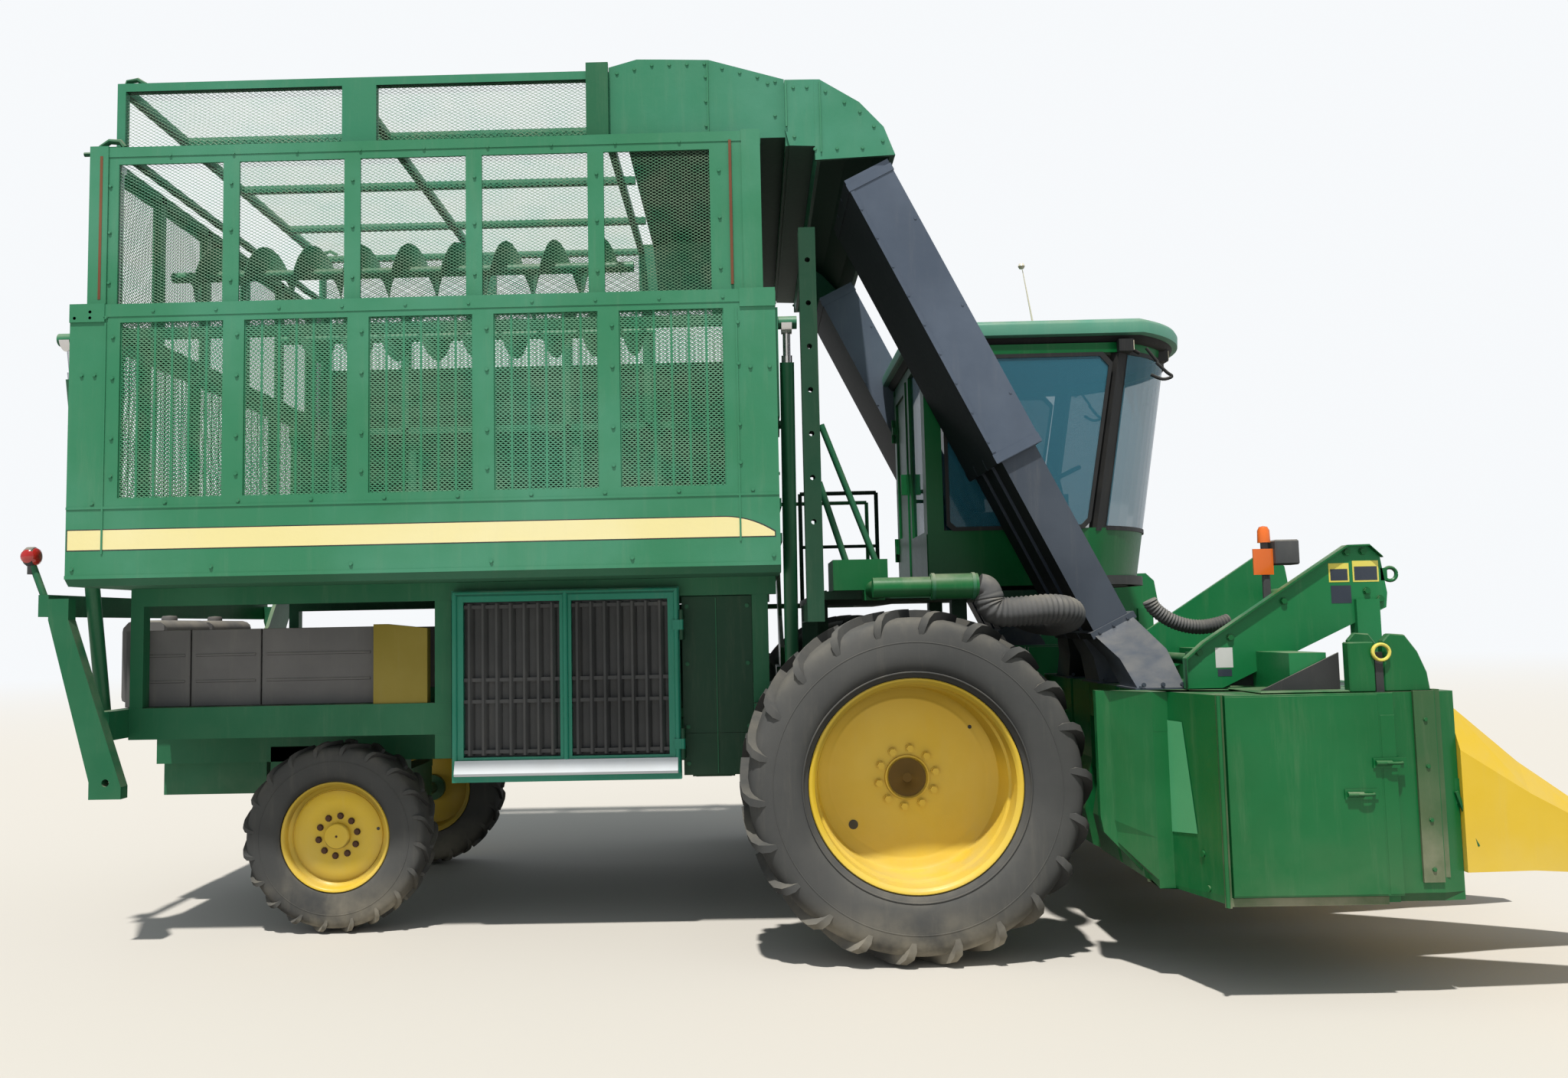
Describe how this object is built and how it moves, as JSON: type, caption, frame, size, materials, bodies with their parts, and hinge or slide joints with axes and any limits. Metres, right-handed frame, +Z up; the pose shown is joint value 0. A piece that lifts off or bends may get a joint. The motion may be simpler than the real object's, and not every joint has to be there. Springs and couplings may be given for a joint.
{
  "type": "self-propelled cotton picker",
  "caption": "Self-propelled cotton picker with a row header, cab, air ducts and a telescoping mesh basket that tips to the side.",
  "frame": {"origin": "centre of the machine's length and width, on the ground under the wheels", "axes": "+X forward, +Y to the operator's left, +Z up"},
  "size_m": [9.0202, 5.796, 5.219],
  "materials": {
    "green_paint": "glossy farm green paint, dusty and faded along the edges",
    "teal_paint": "glossy blue green moulded frame",
    "yellow_paint": "glossy yellow paint, dusty",
    "slate_paint": "satin slate paint, scuffed",
    "cylinder_paint": "glossy bright green paint",
    "cast_block": "rough painted casting",
    "moulded_tank": "rotation moulded dark plastic",
    "dark_plastic": "moulded dark plastic",
    "tinted_glass": "tinted safety glass",
    "seat_fabric": "dark woven seat cloth",
    "axle_steel": "machined steel with grease and dust",
    "rod_chrome": "hard chromed rod",
    "tyre_rubber": "dusty black tyre rubber"
  },
  "bodies": {
    "chassis": {"chassis_frame": "green_paint", "front_axle": "green_paint", "rear_axle": "green_paint", "engine_block": "cast_block", "side_tanks": "moulded_tank", "rear_tanks": "moulded_tank", "side_panels": "green_paint", "service_panel": "yellow_paint", "intake_housing": "green_paint", "basket_bed": "green_paint", "pivot_masts": "green_paint", "guide_mast": "green_paint", "rear_lamp_bar": "green_paint", "deck": "green_paint", "ladder": "green_paint", "cab_floor": "dark_plastic", "cab_frame": "green_paint", "cab_roof": "green_paint", "cab_glass": "tinted_glass", "cab_seat": "seat_fabric", "cab_controls": "dark_plastic", "blower": "green_paint"},
    "intake_door": {"intake_frame": "teal_paint", "intake_louvres": "dark_plastic"},
    "cab_door": {"cab_door": "green_paint"},
    "steer_right": {"knuckle_right": "axle_steel"},
    "steer_left": {"knuckle_left": "axle_steel"},
    "rear_wheel_right": {"rear_tyre_right": "tyre_rubber", "rear_wheel_right": "yellow_paint"},
    "rear_wheel_left": {"rear_tyre_left": "tyre_rubber", "rear_wheel_left": "yellow_paint"},
    "front_wheel_right": {"front_tyre_right": "tyre_rubber", "front_wheel_right": "yellow_paint"},
    "front_wheel_left": {"front_tyre_left": "tyre_rubber", "front_wheel_left": "yellow_paint"},
    "basket": {"basket_floor": "green_paint", "basket_side_right": "green_paint", "basket_side_left": "green_paint", "basket_end_front": "green_paint", "basket_end_rear": "green_paint", "basket_pins": "green_paint"},
    "extension": {"ext_frame": "green_paint", "ext_roof": "green_paint", "ext_hood": "green_paint", "ext_rods": "rod_chrome"},
    "auger_right": {"auger_right": "green_paint"},
    "auger_left": {"auger_left": "green_paint"},
    "dump_barrel": {"dump_barrels": "cylinder_paint"},
    "dump_stage": {"dump_stages": "rod_chrome"},
    "dump_rod": {"dump_rods": "rod_chrome"},
    "duct_slide": {"ducts_upper": "slate_paint"},
    "lift_arm": {"lift_arms": "green_paint"},
    "header": {"ducts_lower": "slate_paint", "header_frame": "green_paint", "row_cabinets": "green_paint", "row_dividers": "yellow_paint"},
    "header_door_right": {"header_door_right": "green_paint"},
    "header_door_left": {"header_door_left": "green_paint"}
  },
  "joints": [
    {"name": "front_wheel_right_spin", "type": "hinge", "parent": "chassis", "child": "front_wheel_right", "pos_m": [0.65985, -1.93, 0.95], "axis": [0, 1, 0], "continuous": true},
    {"name": "front_wheel_left_spin", "type": "hinge", "parent": "chassis", "child": "front_wheel_left", "pos_m": [0.65985, 1.93, 0.95], "axis": [0, 1, 0], "continuous": true},
    {"name": "steer_right", "type": "hinge", "parent": "chassis", "child": "steer_right", "pos_m": [-2.79015, -0.85, 0.58], "axis": [0, 0, 1], "range_deg": [-40, 40]},
    {"name": "steer_left", "type": "hinge", "parent": "chassis", "child": "steer_left", "pos_m": [-2.79015, 0.85, 0.58], "axis": [0, 0, 1], "range_deg": [-40, 40]},
    {"name": "rear_wheel_right_spin", "type": "hinge", "parent": "steer_right", "child": "rear_wheel_right", "pos_m": [-2.79015, -1.08, 0.58], "axis": [0, 1, 0], "continuous": true},
    {"name": "rear_wheel_left_spin", "type": "hinge", "parent": "steer_left", "child": "rear_wheel_left", "pos_m": [-2.79015, 1.08, 0.58], "axis": [0, 1, 0], "continuous": true},
    {"name": "basket_dump", "type": "hinge", "parent": "chassis", "child": "basket", "pos_m": [-2.05515, 1.86, 3.58], "axis": [-1, 0, 0], "range_deg": [0, 70]},
    {"name": "dump_barrel_swing", "type": "hinge", "parent": "chassis", "child": "dump_barrel", "pos_m": [-2.05515, -1.3, 1.25], "axis": [-1, 0, 0], "range_deg": [0, 30.06]},
    {"name": "dump_stage_slide", "type": "slide", "parent": "dump_barrel", "child": "dump_stage", "axis": [0, -0.2018, 0.9794], "range_m": [0, 1.84102]},
    {"name": "dump_rod_slide", "type": "slide", "parent": "dump_stage", "child": "dump_rod", "axis": [0, -0.2018, 0.9794], "range_m": [0, 1.84102]},
    {"name": "extension_slide", "type": "slide", "parent": "basket", "child": "extension", "axis": [0, 0, 1], "range_m": [-0.9, 0]},
    {"name": "duct_slide", "type": "slide", "parent": "chassis", "child": "duct_slide", "axis": [-0.4431, 0, 0.8965], "range_m": [-1.00392, 0]},
    {"name": "auger_right_spin", "type": "hinge", "parent": "extension", "child": "auger_right", "pos_m": [-2.34015, -0.9, 4.2], "axis": [1, 0, 0], "continuous": true},
    {"name": "auger_left_spin", "type": "hinge", "parent": "extension", "child": "auger_left", "pos_m": [-2.34015, 0.9, 4.2], "axis": [1, 0, 0], "continuous": true},
    {"name": "header_lift", "type": "hinge", "parent": "chassis", "child": "lift_arm", "pos_m": [0.80485, 0, 0.53], "axis": [0, -1, 0], "range_deg": [-18.65, 0]},
    {"name": "header_level", "type": "hinge", "parent": "lift_arm", "child": "header", "pos_m": [1.73933, 0, 1.20026], "axis": [0, -1, 0], "range_deg": [0, 18.65]},
    {"name": "header_door_right_hinge", "type": "hinge", "parent": "header", "child": "header_door_right", "pos_m": [2.00485, -2.888, 0.955], "axis": [0, 0, -1], "range_deg": [0, 100]},
    {"name": "header_door_left_hinge", "type": "hinge", "parent": "header", "child": "header_door_left", "pos_m": [2.00485, 2.888, 0.955], "axis": [0, 0, 1], "range_deg": [0, 100]},
    {"name": "intake_door_hinge", "type": "hinge", "parent": "chassis", "child": "intake_door", "pos_m": [-0.62615, -1.414, 1.485], "axis": [0, 0, 1], "range_deg": [0, 95]},
    {"name": "cab_door_hinge", "type": "hinge", "parent": "chassis", "child": "cab_door", "pos_m": [0.93585, 0.69, 2.9], "axis": [0, 0, -1], "range_deg": [0, 95]}
  ],
  "couplings": [
    {"joint": "steer_left", "follows": "steer_right", "ratio": 1},
    {"joint": "dump_barrel_swing", "follows": "basket_dump", "ratio": 0.42942},
    {"joint": "dump_stage_slide", "follows": "basket_dump", "m_per_rad": 1.5069},
    {"joint": "dump_rod_slide", "follows": "basket_dump", "m_per_rad": 1.5069},
    {"joint": "duct_slide", "follows": "extension_slide", "ratio": 1.1155},
    {"joint": "header_level", "follows": "header_lift", "ratio": -1}
  ]
}
